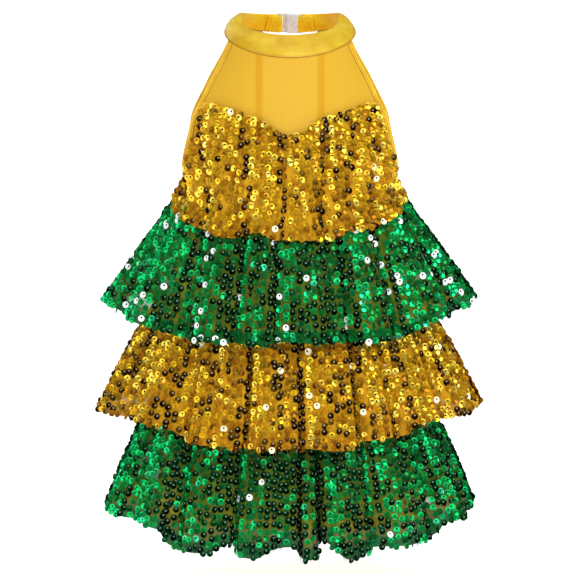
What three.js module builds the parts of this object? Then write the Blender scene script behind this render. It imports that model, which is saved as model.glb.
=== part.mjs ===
// A child's halter-neck dance dress: a satin collar with a clasp at the back, a sheer yoke, and four gathered
// tiers of sequined net over an A-line slip. Millimetres, +Z up. The front faces -Y, and the origin is the
// centre of the neck opening. Angles are in degrees round the dress, 0 at the front and 90 at the +X side.
import * as THREE from 'three';

// Cloth and gaps
const CLOTH = 1.2; // wall of the yoke, the slip and the bindings
const NET = 1.8; // wall of a tier, measured level
const SATIN = 2.6; // wall of the folded collar band, measured level
const SEAM_GAP = 0.3;
const LAYER_GAP = 0.6;

// The body of the dress: level ellipses from the neck down to the hem of the slip
const BODY = [
  { z: 8, halfWidth: 57, halfDepth: 52.5 },
  { z: -4, halfWidth: 64.5, halfDepth: 55 },
  { z: -20, halfWidth: 74, halfDepth: 58.5 },
  { z: -50, halfWidth: 95, halfDepth: 64 },
  { z: -90, halfWidth: 112.5, halfDepth: 72 },
  { z: -120, halfWidth: 109, halfDepth: 76 },
  { z: -149, halfWidth: 99.5, halfDepth: 78 },
  { z: -250, halfWidth: 111.5, halfDepth: 83 },
  { z: -350, halfWidth: 117, halfDepth: 88 },
  { z: -475, halfWidth: 125, halfDepth: 95 },
];

// The collar band's top edge: its half sizes, and its height from the front round either side to the back
const COLLAR_TOP = { halfWidth: 47, halfDepth: 45 };
const COLLAR_TOP_EDGE = [
  { angle: 0, z: -0.3 },
  { angle: 8, z: -0.2 },
  { angle: 30, z: 1.2 },
  { angle: 57, z: 4.4 },
  { angle: 69, z: 7.2 },
  { angle: 80, z: 11.2 },
  { angle: 90, z: 15.4 },
  { angle: 100, z: 16.6 },
  { angle: 116, z: 15.4 },
  { angle: 140, z: 13.6 },
  { angle: 160, z: 12.5 },
  { angle: 180, z: 12.1 },
];
// Its foot's height is level + tip * cos(angle) + dip * cos(2 * angle)
const COLLAR_FOOT = { level: -7, tip: -8, dip: -6.5 };
const CLASP = { width: 22, height: 22, thickness: 1.5, slotWidth: 2.4, slotHeight: 17, bar: 1.6, lap: 3 };

// The armhole's edge on the front half, from the collar down to the underarm. The back half mirrors it, but
// for its upper end, because the collar's foot is higher there.
const ARMHOLE = [
  { angle: 57.5, z: -9.6 },
  { angle: 55, z: -50 },
  { angle: 57, z: -90 },
  { angle: 67.5, z: -120 },
  { angle: 78.5, z: -137 },
  { angle: 90, z: -144 },
];
const ARMHOLE_BACK_TOP = -2.4;
const BINDING_WIDTH = 7;
const BINDING_LIP = 0.8; // how far a binding stands past the edge that it covers
const BINDING_CLEARANCE = 1.5; // between the armhole's binding and tier 1

// The sweetheart line on the front, and the straight line across the back. The slip and tier 1 start from
// them.
const SWEETHEART = [
  { angle: 0, z: -95 },
  { angle: 6, z: -90 },
  { angle: 15, z: -80 },
  { angle: 31, z: -71 },
  { angle: 60, z: -62 },
];
const BACK_LINE = [
  { angle: 0, z: -122 },
  { angle: 35, z: -116 },
  { angle: 70, z: -100 },
];
const LINE_END = 60; // the angle at which both lines meet the armhole, about
const BACK_OPENING_HALF_WIDTH = 26;
const BACK_OPENING_TOP = 22; // the angle from the centre back at which its edges leave the collar
const SLIP_HEM = -467;

// Four tiers. sideZ and frontZ are the seam's heights, sideFlare and frontFlare how far the hem stands out
// from the slip, bulge how early it does so, and ripple the depth of the small gathers between the folds.
const TIERS = [
  { sideFlare: 1, frontFlare: 7, bulge: 1.2, ripple: 1.2, gathers: 37 },
  { sideZ: -152, frontZ: -159, sideFlare: 58, frontFlare: 27, bulge: 1, ripple: 1.6, gathers: 29 },
  { sideZ: -252, frontZ: -258, sideFlare: 58, frontFlare: 28, bulge: 0.73, ripple: 1.6, gathers: 31 },
  { sideZ: -350, frontZ: -356, sideFlare: 47, frontFlare: 28, bulge: 0.65, ripple: 1.8, gathers: 27 },
];

// Hem heights of each tier across the front. The back repeats them, turned half round.
const HEMS = [
  [
    { angle: -90, z: -154 },
    { angle: -70, z: -171 },
    { angle: -52, z: -181 },
    { angle: -28, z: -190 },
    { angle: -16, z: -184 },
    { angle: -7, z: -191 },
    { angle: 19, z: -191 },
    { angle: 27, z: -184 },
    { angle: 45, z: -181 },
    { angle: 68, z: -168 },
    { angle: 90, z: -154 },
  ],
  [
    { angle: -90, z: -256 },
    { angle: -66, z: -268 },
    { angle: -44, z: -283 },
    { angle: -12, z: -288 },
    { angle: 0, z: -285 },
    { angle: 22, z: -286 },
    { angle: 48, z: -282 },
    { angle: 57, z: -269 },
    { angle: 90, z: -256 },
  ],
  [
    { angle: -90, z: -359 },
    { angle: -60, z: -366 },
    { angle: -47, z: -369 },
    { angle: -42, z: -379 },
    { angle: -20, z: -386 },
    { angle: 0, z: -386 },
    { angle: 22, z: -388 },
    { angle: 28, z: -380 },
    { angle: 43, z: -377 },
    { angle: 48, z: -366 },
    { angle: 90, z: -359 },
  ],
  [
    { angle: -90, z: -454 },
    { angle: -74, z: -459 },
    { angle: -66, z: -461 },
    { angle: -57, z: -464 },
    { angle: -50, z: -467 },
    { angle: -46.5, z: -482 },
    { angle: -41, z: -486 },
    { angle: -30, z: -486 },
    { angle: -22, z: -477 },
    { angle: -19, z: -490 },
    { angle: -13, z: -490 },
    { angle: -5, z: -480 },
    { angle: 1, z: -479 },
    { angle: 5, z: -491 },
    { angle: 9, z: -491 },
    { angle: 12, z: -474 },
    { angle: 21, z: -491 },
    { angle: 25, z: -491 },
    { angle: 29, z: -486 },
    { angle: 33, z: -481 },
    { angle: 50, z: -480 },
    { angle: 57, z: -478 },
    { angle: 61, z: -465 },
    { angle: 66, z: -463 },
    { angle: 74, z: -461 },
    { angle: 90, z: -454 },
  ],
];

// The largest folds of each tier: a soft ridge at this angle, this wide and this deep at the hem. They repeat
// after half a turn, so the back has similar ones.
const FOLDS = [
  [
    { angle: -76, width: 6, depth: 2 },
    { angle: -57, width: 6, depth: 5 },
    { angle: -38, width: 5, depth: 4 },
    { angle: -22, width: 5, depth: 6 },
    { angle: -5, width: 6, depth: 5 },
    { angle: 9, width: 4, depth: 6 },
    { angle: 22, width: 5, depth: 4 },
    { angle: 38, width: 7, depth: 6 },
    { angle: 59, width: 6, depth: 5 },
    { angle: 78, width: 6, depth: 2 },
  ],
  [
    { angle: -82, width: 6, depth: 6 },
    { angle: -62, width: 6, depth: 9 },
    { angle: -31, width: 7, depth: 10 },
    { angle: -10, width: 6, depth: 7 },
    { angle: 8, width: 7, depth: 9 },
    { angle: 34, width: 7, depth: 10 },
    { angle: 61, width: 6, depth: 9 },
    { angle: 79, width: 5, depth: 6 },
  ],
  [
    { angle: -78, width: 7, depth: 8 },
    { angle: -53, width: 6, depth: 9 },
    { angle: -33, width: 5, depth: 8 },
    { angle: -7, width: 7, depth: 10 },
    { angle: 17, width: 5, depth: 9 },
    { angle: 31, width: 5, depth: 7 },
    { angle: 47, width: 5, depth: 9 },
    { angle: 68, width: 7, depth: 8 },
  ],
  [
    { angle: -73, width: 7, depth: 8 },
    { angle: -53, width: 6, depth: 7 },
    { angle: -32, width: 7, depth: 11 },
    { angle: -10, width: 6, depth: 9 },
    { angle: 6, width: 4, depth: 8 },
    { angle: 19, width: 5, depth: 9 },
    { angle: 41, width: 8, depth: 10 },
    { angle: 67, width: 6, depth: 8 },
  ],
];

const FOLD_GROWTH = 0.8; // how late the folds of a tier grow down its length
const LAID_FOLDS = 0.5; // share of tier 1's folds that is left where it lies on tier 2
const SIDE_SHARPNESS = 3; // how much of the flare is kept to the sides
const GATHER_WANDER = { depth: 1.3, turns: 5 }; // unevenness of the small gathers

// How finely each wall is cut up
const TIER_COLUMNS = 44;
const TIER_ROWS = [0, 0.14, 0.36, 0.68, 1];
const FIRST_TIER_ROWS = [0, 0.2, 0.4, 0.6, 0.78, 0.9, 1];
const SLIP_COLUMNS = 20;
const SLIP_HEIGHTS = [-85, -108, -124, -133, -139, -144, -151, -230, -310, -390]; // closer beside the armhole
const YOKE_COLUMNS = 18;
const YOKE_ROWS = 5;
const COLLAR_COLUMNS = 64;
const ARMHOLE_STEPS = 44;
const BACK_OPENING_STEPS = 8;

const SATIN_YELLOW = { color: 0xf5cd32, roughness: 0.35, metalness: 0 };
const MESH_YELLOW = { color: 0xeec044, roughness: 0.8, metalness: 0 };
const TRIM_YELLOW = { color: 0xf5c63c, roughness: 0.6, metalness: 0 };
const SLIP_YELLOW = { color: 0xe8b52c, roughness: 0.75, metalness: 0 };
const CLEAR_PLASTIC = { color: 0xdcd6d0, roughness: 0.3, metalness: 0 };
const GOLD = { color: 0xd8a41c, roughness: 0.25, metalness: 0.8 };
const GREEN = { color: 0x10843c, roughness: 0.25, metalness: 0.8 };

const radians = THREE.MathUtils.degToRad;
const lerp = THREE.MathUtils.lerp;
const dress = new THREE.Group();

function add(name, geometry, look) {
  const mesh = new THREE.Mesh(geometry, new THREE.MeshStandardMaterial(look));
  mesh.name = name;
  dress.add(mesh);
  return mesh;
}

// The smooth value of one column of a table where another column is `at`. It never passes a row's neighbours.
function through(rows, from, to, at) {
  const sorted = rows[0][from] < rows[rows.length - 1][from] ? rows : [...rows].reverse();
  const last = sorted.length - 1;
  const here = Math.min(Math.max(at, sorted[0][from]), sorted[last][from]);
  let i = 0;
  while (i < last - 1 && here > sorted[i + 1][from]) i += 1;
  const rise = (k) => (sorted[k + 1][to] - sorted[k][to]) / (sorted[k + 1][from] - sorted[k][from]);
  const slope = (k) => {
    if (k === 0) return rise(0);
    if (k === last) return rise(last - 1);
    const [before, after] = [rise(k - 1), rise(k)];
    return before * after > 0 ? (2 * before * after) / (before + after) : 0;
  };
  const span = sorted[i + 1][from] - sorted[i][from];
  const t = (here - sorted[i][from]) / span;
  const straight = lerp(sorted[i][to], sorted[i + 1][to], t * t * (3 - 2 * t));
  return straight + span * t * (1 - t) * ((1 - t) * slope(i) - t * slope(i + 1));
}

// A point on the body of the dress, moved level away from it
function onBody(angle, z, out = 0) {
  const halfWidth = through(BODY, 'z', 'halfWidth', z);
  const halfDepth = through(BODY, 'z', 'halfDepth', z);
  const [across, along] = [Math.sin(radians(angle)), -Math.cos(radians(angle))];
  const away = new THREE.Vector2(across / halfWidth, along / halfDepth).normalize();
  return new THREE.Vector3(across * halfWidth + away.x * out, along * halfDepth + away.y * out, z);
}

// The angle on the body of a point near it
function angleOf(point) {
  const halfWidth = through(BODY, 'z', 'halfWidth', point.z);
  const halfDepth = through(BODY, 'z', 'halfDepth', point.z);
  return THREE.MathUtils.radToDeg(Math.atan2(point.x / halfWidth, -point.y / halfDepth));
}

// A closed wall between two grids of points: rows run down and columns run round
function wall(inner, outer) {
  const [rows, columns] = [outer.length, outer[0].length];
  const points = [...outer.flat(), ...inner.flat()];
  const out = (r, c) => r * columns + c;
  const back = (r, c) => rows * columns + out(r, c);
  const faces = [];
  const quad = (a, b, c, d) => faces.push(a, b, c, a, c, d);
  for (let r = 0; r < rows - 1; r += 1) {
    for (let c = 0; c < columns - 1; c += 1) {
      quad(out(r, c), out(r + 1, c), out(r + 1, c + 1), out(r, c + 1));
      quad(back(r, c), back(r, c + 1), back(r + 1, c + 1), back(r + 1, c));
    }
    quad(out(r, 0), back(r, 0), back(r + 1, 0), out(r + 1, 0));
    quad(out(r, columns - 1), out(r + 1, columns - 1), back(r + 1, columns - 1), back(r, columns - 1));
  }
  for (let c = 0; c < columns - 1; c += 1) {
    quad(out(0, c), out(0, c + 1), back(0, c + 1), back(0, c));
    quad(out(rows - 1, c), back(rows - 1, c), back(rows - 1, c + 1), out(rows - 1, c + 1));
  }
  const geometry = new THREE.BufferGeometry().setFromPoints(points);
  geometry.setIndex(faces);
  return geometry;
}

// A grid of points, from a function of the row's and the column's share, each 0 to 1
function grid(rowShares, columns, pointAt) {
  return rowShares.map((row) =>
    Array.from({ length: columns + 1 }, (_, c) => pointAt(row, c / columns)));
}

const evenly = (steps) => Array.from({ length: steps + 1 }, (_, i) => i / steps);

const collarTop = (angle) => through(COLLAR_TOP_EDGE, 'angle', 'z', Math.abs(angle));

function collarFoot(angle) {
  const { level, tip, dip } = COLLAR_FOOT;
  return level + tip * Math.cos(radians(angle)) + dip * Math.cos(radians(2 * angle));
}

function makeCollar() {
  const { halfWidth, halfDepth } = COLLAR_TOP;
  const footWidth = through(BODY, 'z', 'halfWidth', collarFoot(180));
  const pointAt = (side) => (down, round) => {
    const endAngle = Math.asin((CLASP.width / 2 + SEAM_GAP) / lerp(halfWidth, footWidth, down));
    const angle = lerp(-1, 1, round) * (180 - THREE.MathUtils.radToDeg(endAngle));
    const foot = onBody(angle, collarFoot(angle), (side * SATIN) / 2);
    const top = new THREE.Vector3(
      (halfWidth + (side * SATIN) / 2) * Math.sin(radians(angle)),
      -(halfDepth + (side * SATIN) / 2) * Math.cos(radians(angle)),
      collarTop(angle),
    );
    return top.lerp(foot, down);
  };
  const rows = [0, 0.5, 1];
  const [inner, outer] = [-1, 1].map((side) => grid(rows, COLLAR_COLUMNS, pointAt(side)));
  add('collar_band', wall(inner, outer), SATIN_YELLOW);
}

// One half of the clasp: a plate with a slot that the band's end passes through
function claspHalf(direction) {
  const { width, height, thickness, slotWidth, slotHeight, bar, lap } = CLASP;
  const [outerEdge, innerEdge] = [direction * (width / 2), -direction * lap];
  const rectangle = (path, x1, x2, tall) => {
    const [left, right] = [Math.min(x1, x2), Math.max(x1, x2)];
    path.moveTo(left, -tall / 2);
    path.lineTo(right, -tall / 2);
    path.lineTo(right, tall / 2);
    path.lineTo(left, tall / 2);
    path.closePath();
    return path;
  };
  const plate = rectangle(new THREE.Shape(), outerEdge, innerEdge, height);
  const slotEdge = outerEdge - direction * bar;
  plate.holes.push(rectangle(new THREE.Path(), slotEdge, slotEdge - direction * slotWidth, slotHeight));
  return new THREE.ExtrudeGeometry(plate, { depth: thickness, bevelEnabled: false });
}

// The clasp stands in the slant of the collar's back
function makeClasp() {
  const top = new THREE.Vector3(0, COLLAR_TOP.halfDepth, collarTop(180));
  const foot = onBody(180, collarFoot(180));
  const slant = Math.atan2(top.z - foot.z, top.y - foot.y);
  const step = CLASP.thickness + SEAM_GAP;
  for (const [name, direction, layer] of [['clasp_hook', 1, 0], ['clasp_loop', -1, -step]]) {
    const half = add(name, claspHalf(direction), CLEAR_PLASTIC);
    half.geometry.translate(0, 0, layer);
    half.position.copy(top.clone().lerp(foot, 0.5));
    half.rotation.x = slant;
  }
}

// The armhole's edge as a smooth path of angle and height, from the collar's front under the arm to its back
const armholePath = new THREE.CatmullRomCurve3([
  ...ARMHOLE.map((row) => new THREE.Vector3(row.angle, row.z, 0)),
  ...ARMHOLE.slice(1, -1).reverse().map((row) => new THREE.Vector3(180 - row.angle, row.z, 0)),
  new THREE.Vector3(180 - ARMHOLE[0].angle, ARMHOLE_BACK_TOP, 0),
], false, 'centripetal');

// A point beside an edge path: `beside` mm along the cloth away from the opening and `out` mm off the cloth
function besidePath(path, share, beside, out) {
  const reach = 0.002;
  const [a, b] = [Math.max(share - reach, 0), Math.min(share + reach, 1)].map((at) => path.getPoint(at));
  const [before, after] = [onBody(a.x, a.y), onBody(b.x, b.y)];
  const here = path.getPoint(share);
  const point = onBody(here.x, here.y);
  const outward = onBody(here.x, here.y, 1).sub(point);
  point.addScaledVector(after.sub(before).cross(outward).normalize(), beside);
  return onBody(angleOf(point), point.z, out);
}

// The front armhole edge, `inset` mm in from the opening, as rows of angle and height
function armholeRows(inset) {
  const rows = evenly(60).map((share) => {
    const point = besidePath(armholePath, share * 0.5, inset, 0);
    return { angle: angleOf(point), z: point.z };
  });
  return rows.filter((row, i) => i === 0 || row.z < rows[i - 1].z - 0.01);
}

const bareEdge = armholeRows(0);
const tierEdge = armholeRows(BINDING_WIDTH + BINDING_CLEARANCE);

// The angle of a panel's edge at the side seam
function seamAngle(z) {
  return 90 - THREE.MathUtils.radToDeg(SEAM_GAP / 2 / through(BODY, 'z', 'halfWidth', z));
}

// The angle at which a panel ends at a height: the armhole's edge, and below it the side seam
function edgeAngle(rows, z) {
  const last = rows[rows.length - 1];
  return z <= last.z ? seamAngle(z) : Math.min(seamAngle(z), through(rows, 'z', 'angle', z));
}

// Angle and height on a panel whose sides follow the armhole, `side` from -1 to 1 across it. `top` and `foot`
// give its upper and lower line by angle, and `corner` is a height near its upper corners.
function panelPoint(edge, top, foot, corner, down, side) {
  const topAngle = edgeAngle(edge, corner);
  const footAngle = edgeAngle(edge, foot(90));
  const angle = side * edgeAngle(edge, lerp(top(topAngle), foot(footAngle), down));
  return { angle, z: lerp(top(side * topAngle), foot(side * footAngle), down) };
}

const sweetheart = (angle) => through(SWEETHEART, 'angle', 'z', Math.abs(angle));
const backLine = (angle) => through(BACK_LINE, 'angle', 'z', Math.abs(angle));

// The yoke's front hangs from the collar to the sweetheart line
function makeYokeFront() {
  const top = (angle) => collarFoot(angle) - 2 * SEAM_GAP;
  const foot = (angle) => sweetheart(angle) + SEAM_GAP;
  const pointAt = (out) => (down, round) => {
    const { angle, z } = panelPoint(bareEdge, top, foot, ARMHOLE[0].z, down, lerp(-1, 1, round));
    return onBody(angle, z, out);
  };
  const [inner, outer] = [0, CLOTH].map((out) => grid(evenly(YOKE_ROWS), YOKE_COLUMNS, pointAt(out)));
  add('yoke_front', wall(inner, outer), MESH_YELLOW);
}

// The angle from the centre back of the back opening's edge
function openingAngle(z) {
  return THREE.MathUtils.radToDeg(Math.asin(BACK_OPENING_HALF_WIDTH / through(BODY, 'z', 'halfWidth', z)));
}

// Each back panel of the yoke runs from the back opening to the armhole
function makeYokeBack(name, direction) {
  const pointAt = (out) => (down, round) => {
    const share = direction > 0 ? 1 - round : round;
    const top = (fromBack) => collarFoot(180 - fromBack) - 2 * SEAM_GAP;
    const foot = (fromBack) => backLine(fromBack) + SEAM_GAP;
    const { angle: edge } = panelPoint(bareEdge, top, foot, ARMHOLE[0].z, down, 1);
    const ends = [0, 1].map((end) => lerp(
      openingAngle(end ? foot(0) : top(BACK_OPENING_TOP)),
      panelPoint(bareEdge, top, foot, ARMHOLE[0].z, end, 1).angle,
      share,
    ));
    const z = lerp(top(ends[0]), foot(ends[1]), down);
    return onBody(direction * (180 - lerp(openingAngle(z), edge, share)), z, out);
  };
  const [inner, outer] = [0, CLOTH].map((out) => grid(evenly(YOKE_ROWS + 1), YOKE_COLUMNS / 2, pointAt(out)));
  add(name, wall(inner, outer), MESH_YELLOW);
}

function makeSlip(name, line, turn) {
  const pointAt = (out) => (down, round) => {
    const foot = () => SLIP_HEM;
    const { angle, z } = panelPoint(bareEdge, line, foot, line(LINE_END), down, lerp(-1, 1, round));
    return onBody(angle + turn, z, out);
  };
  const corner = line(edgeAngle(bareEdge, line(LINE_END)));
  const between = SLIP_HEIGHTS.filter((z) => z < corner - CLOTH * 4);
  const rows = [corner, ...between, SLIP_HEM].map((z) => (corner - z) / (corner - SLIP_HEM));
  const [inner, outer] = [0, CLOTH].map((out) => grid(rows, SLIP_COLUMNS, pointAt(out)));
  add(name, wall(inner, outer), SLIP_YELLOW);
}

// How far a tier's main folds and small gathers stand out at an angle, at the hem
function foldsAt(number, angle) {
  const { ripple, gathers } = TIERS[number];
  const ridges = FOLDS[number].map((fold) => {
    const apart = THREE.MathUtils.euclideanModulo(angle - fold.angle + 90, 180) - 90;
    return fold.depth * Math.exp(-((apart / fold.width) ** 2));
  });
  const wander = GATHER_WANDER.depth * Math.sin(radians(angle * GATHER_WANDER.turns));
  const small = (ripple / 2) * (1 + Math.sin(radians(angle * gathers) + wander));
  return ridges.reduce((sum, ridge) => sum + ridge, small);
}

const halfTurn = (angle) => THREE.MathUtils.euclideanModulo(angle + 90, 180) - 90;
const hemZ = (number, angle) => through(HEMS[number], 'angle', 'z', halfTurn(angle));
const sideways = (angle) => Math.abs(Math.sin(radians(angle))) ** SIDE_SHARPNESS;

// How far a lower tier's outer side stands off the body, at an angle and height. Tier 1 is not asked for.
function tierOut(number, angle, z) {
  const tier = TIERS[number];
  const seam = lerp(tier.frontZ, tier.sideZ, sideways(angle));
  const down = THREE.MathUtils.clamp((seam - z) / (seam - hemZ(number, angle)), 0, 1);
  const flare = lerp(tier.frontFlare, tier.sideFlare, sideways(angle)) * down ** tier.bulge;
  return CLOTH + LAYER_GAP + NET + flare + foldsAt(number, angle) * down ** FOLD_GROWTH;
}

// Tier 1 lies on the slip, and over the top of tier 2 below its seam
function firstTierOut(angle, z, down) {
  const tier = TIERS[0];
  const seam = lerp(TIERS[1].frontZ, TIERS[1].sideZ, sideways(angle));
  const below = z < seam ? tierOut(1, angle, z) : 0;
  const flare = lerp(tier.frontFlare, tier.sideFlare, sideways(angle)) * down ** tier.bulge;
  const own = CLOTH + LAYER_GAP + NET + flare + foldsAt(0, angle) * down;
  return Math.max(own, below + NET + LAYER_GAP + LAID_FOLDS * foldsAt(0, angle) * down);
}

function makeFirstTier(name, line, turn) {
  const pointAt = (inward) => (down, round) => {
    const foot = (at) => hemZ(0, at);
    const { angle, z } = panelPoint(tierEdge, line, foot, line(LINE_END), down, lerp(-1, 1, round));
    return onBody(angle + turn, z, firstTierOut(angle, z, down) - inward);
  };
  const [inner, outer] = [NET, 0].map((inward) => grid(FIRST_TIER_ROWS, TIER_COLUMNS, pointAt(inward)));
  add(name, wall(inner, outer), GOLD);
}

function makeTier(number, name, turn, look) {
  const tier = TIERS[number];
  const pointAt = (inward) => (down, round) => {
    const angle = lerp(-1, 1, round) * seamAngle(tier.sideZ);
    const z = lerp(lerp(tier.frontZ, tier.sideZ, sideways(angle)), hemZ(number, angle), down);
    return onBody(angle + turn, z, tierOut(number, angle, z) - inward);
  };
  const [inner, outer] = [NET, 0].map((inward) => grid(TIER_ROWS, TIER_COLUMNS, pointAt(inward)));
  add(name, wall(inner, outer), look);
}

// A binding: a strip laid over the cloth along an edge
function makeBinding(name, path, steps, mirror) {
  const pointAt = (out) => (down, round) => {
    const point = besidePath(path, round, lerp(-BINDING_LIP, BINDING_WIDTH - BINDING_LIP, down), out);
    return mirror ? point.setX(-point.x) : point;
  };
  const [low, high] = [CLOTH + SEAM_GAP, 2 * CLOTH + SEAM_GAP];
  const [inner, outer] = [low, high].map((out) => grid([0, 1], steps, pointAt(out)));
  add(name, mirror ? wall(outer, inner) : wall(inner, outer), TRIM_YELLOW);
}

// The edge of the back opening on the +X side, from the collar down
function backOpeningPath() {
  const [top, foot] = [collarFoot(180 - BACK_OPENING_TOP), backLine(BACK_OPENING_TOP)];
  const rows = evenly(BACK_OPENING_STEPS).map((share) => {
    const z = lerp(top - CLOTH, foot + CLOTH, share);
    return new THREE.Vector3(180 - openingAngle(z), z, 0);
  });
  return new THREE.CatmullRomCurve3(rows, false, 'centripetal');
}

makeCollar();
makeClasp();
makeYokeFront();
makeYokeBack('yoke_back_left', -1);
makeYokeBack('yoke_back_right', 1);
makeSlip('slip_front', sweetheart, 0);
makeSlip('slip_back', backLine, 180);
makeBinding('armhole_binding_left', armholePath, ARMHOLE_STEPS, true);
makeBinding('armhole_binding_right', armholePath, ARMHOLE_STEPS, false);
makeBinding('back_opening_binding_left', backOpeningPath(), BACK_OPENING_STEPS, true);
makeBinding('back_opening_binding_right', backOpeningPath(), BACK_OPENING_STEPS, false);
makeFirstTier('tier_1_front', sweetheart, 0);
makeFirstTier('tier_1_back', backLine, 180);
for (const [half, turn] of [['front', 0], ['back', 180]]) {
  makeTier(1, `tier_2_${half}`, turn, GREEN);
  makeTier(2, `tier_3_${half}`, turn, GOLD);
  makeTier(3, `tier_4_${half}`, turn, GREEN);
}

export default dress;
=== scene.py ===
# A child's halter-neck dance dress: satin collar with a clasp, sheer yoke, and four gathered tiers of
# sequined net over a slip. Shapes are worked out in millimetres and turned into metres when a mesh is made.
# Angles are in degrees round the dress, 0 at the front and 90 at the +X side.
import math

import bmesh
import bpy
import numpy as np
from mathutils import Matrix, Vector


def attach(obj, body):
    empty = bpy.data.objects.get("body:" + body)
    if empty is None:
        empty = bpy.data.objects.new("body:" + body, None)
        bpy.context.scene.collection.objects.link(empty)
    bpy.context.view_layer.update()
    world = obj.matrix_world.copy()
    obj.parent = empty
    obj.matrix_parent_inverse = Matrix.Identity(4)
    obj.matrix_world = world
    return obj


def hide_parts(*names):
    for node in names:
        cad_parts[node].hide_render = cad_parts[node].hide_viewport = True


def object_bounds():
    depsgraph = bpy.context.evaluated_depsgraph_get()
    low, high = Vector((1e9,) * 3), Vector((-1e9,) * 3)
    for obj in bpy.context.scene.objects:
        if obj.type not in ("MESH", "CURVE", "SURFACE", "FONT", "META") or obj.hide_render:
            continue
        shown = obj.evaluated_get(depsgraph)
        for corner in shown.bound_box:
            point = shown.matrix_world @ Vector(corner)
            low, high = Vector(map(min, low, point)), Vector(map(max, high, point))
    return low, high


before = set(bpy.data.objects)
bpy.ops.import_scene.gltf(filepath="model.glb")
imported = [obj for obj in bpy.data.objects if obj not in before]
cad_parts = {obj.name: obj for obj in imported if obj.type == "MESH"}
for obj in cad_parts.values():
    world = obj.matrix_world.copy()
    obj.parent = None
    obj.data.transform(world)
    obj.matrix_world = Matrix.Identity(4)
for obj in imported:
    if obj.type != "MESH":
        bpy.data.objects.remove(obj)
cad_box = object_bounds()

MM = 0.001
SEED = 20
WISP_SEED = 30


def table(columns, *rows):
    """A table as a dictionary of its named columns."""
    return dict(zip(columns.split(), np.array(rows, float).T))


def tables(columns, *lists):
    return [table(columns, *rows) for rows in lists]


# The body of the dress: level ellipses from the neck down to the slip's hem
BODY = table(
    "z half_width half_depth",
    (8, 57, 52.5),
    (-4, 64.5, 55),
    (-20, 74, 58.5),
    (-50, 95, 64),
    (-90, 112.5, 72),
    (-120, 109, 76),
    (-149, 99.5, 78),
    (-250, 111.5, 83),
    (-350, 117, 88),
    (-475, 125, 95),
)
CLOTH = 1.2
NET = 1.8
SEAM_GAP = 0.3
LAYER_GAP = 0.6
NET_OUTSIDE = CLOTH + LAYER_GAP + NET

# The collar band's top edge: its half sizes, and its height from the front round either side to the back
COLLAR_TOP = {"half_width": 47, "half_depth": 45}
COLLAR_TOP_EDGE = table(
    "angle z", (0, -0.3), (8, -0.2), (30, 1.2), (57, 4.4), (69, 7.2), (80, 11.2), (90, 15.4),
    (100, 16.6), (116, 15.4), (140, 13.6), (160, 12.5), (180, 12.1),
)
# Its foot's height is level + tip * cos(angle) + dip * cos(2 * angle)
COLLAR_FOOT = {"level": -7, "tip": -8, "dip": -6.5}
COLLAR_BULGE = 3.0  # how far the band stands out at the sides of the neck
CLASP_HALF_WIDTH = 11
# The satin's way round a bar of the clasp, seen from above: across from its middle, and out from the neck
LOOP_PATH = table(
    "across out",
    (14.5, 1.5), (12.8, 1.9), (11.4, 2.3), (9.8, 2.3), (8.4, 1.7), (7.75, 0.2), (7.8, -1.2), (8.7, -2.0),
    (10.4, -2.3), (11.8, -2.4), (13.2, -2.4), (14.5, -2.2),
)
LOOP_SPREAD = table("across half_height", (7.5, 8.2), (8.3, 8.3), (8.9, 9.2), (9.6, 9.6), (14.5, 9.4))
LOOP_THICKNESS = 1.1
TAB_START = 0.924  # the share of the way round to the clasp at which the turned-back ends begin
TAB_SEAMS = [0.012, 0.026]  # how much further on they are stitched

# The armhole's edge on the front half. The back half mirrors it, but for its upper end.
ARMHOLE = table("angle z", (57.5, -9.6), (55, -50), (57, -90), (67.5, -120), (78.5, -137), (90, -144))
ARMHOLE_BACK_TOP = -2.4
BINDING_WIDTH = 7
BINDING_CLEARANCE = 1.5
# A binding's section: how far along the cloth from the edge, how far off the cloth, and its painted shade,
# all the way round
BINDING_SECTION = table(
    "aside out seam",
    (-0.9, 0.8, 0), (-0.8, 1.6, 0), (-0.4, 2.0, 0), (0.4, 2.3, 0), (1.8, 2.35, 0), (2.7, 2.2, 0.1),
    (3.05, 1.85, 0.6), (3.35, 1.85, 0.5), (3.7, 2.2, 0), (4.5, 2.15, 0), (4.95, 1.8, 0.35), (5.2, 1.4, 1),
    (5.3, 1.0, 1), (4.4, 0.2, 1), (2.6, -0.2, 0), (0.8, -0.5, 0), (-0.5, -0.3, 0),
)
BINDING_STITCH_LINE = 3.2
PUCKER = {"every": 0.0045, "by": 0.06}  # metres along the binding, and a share of how far it stands off

SWEETHEART = table("angle z", (0, -95), (6, -90), (15, -80), (31, -71), (60, -62))
BACK_LINE = table("angle z", (0, -122), (35, -116), (70, -100))
LINE_END = 60
BACK_OPENING_HALF_WIDTH = 26
BACK_OPENING_TOP = 22
SLIP_HEM = -467
TUCK = 0.8  # how far the yoke's top reaches up inside the collar's foot
SEAM_OVERLAP = 3  # and its foot below the top of the first tier

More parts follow.
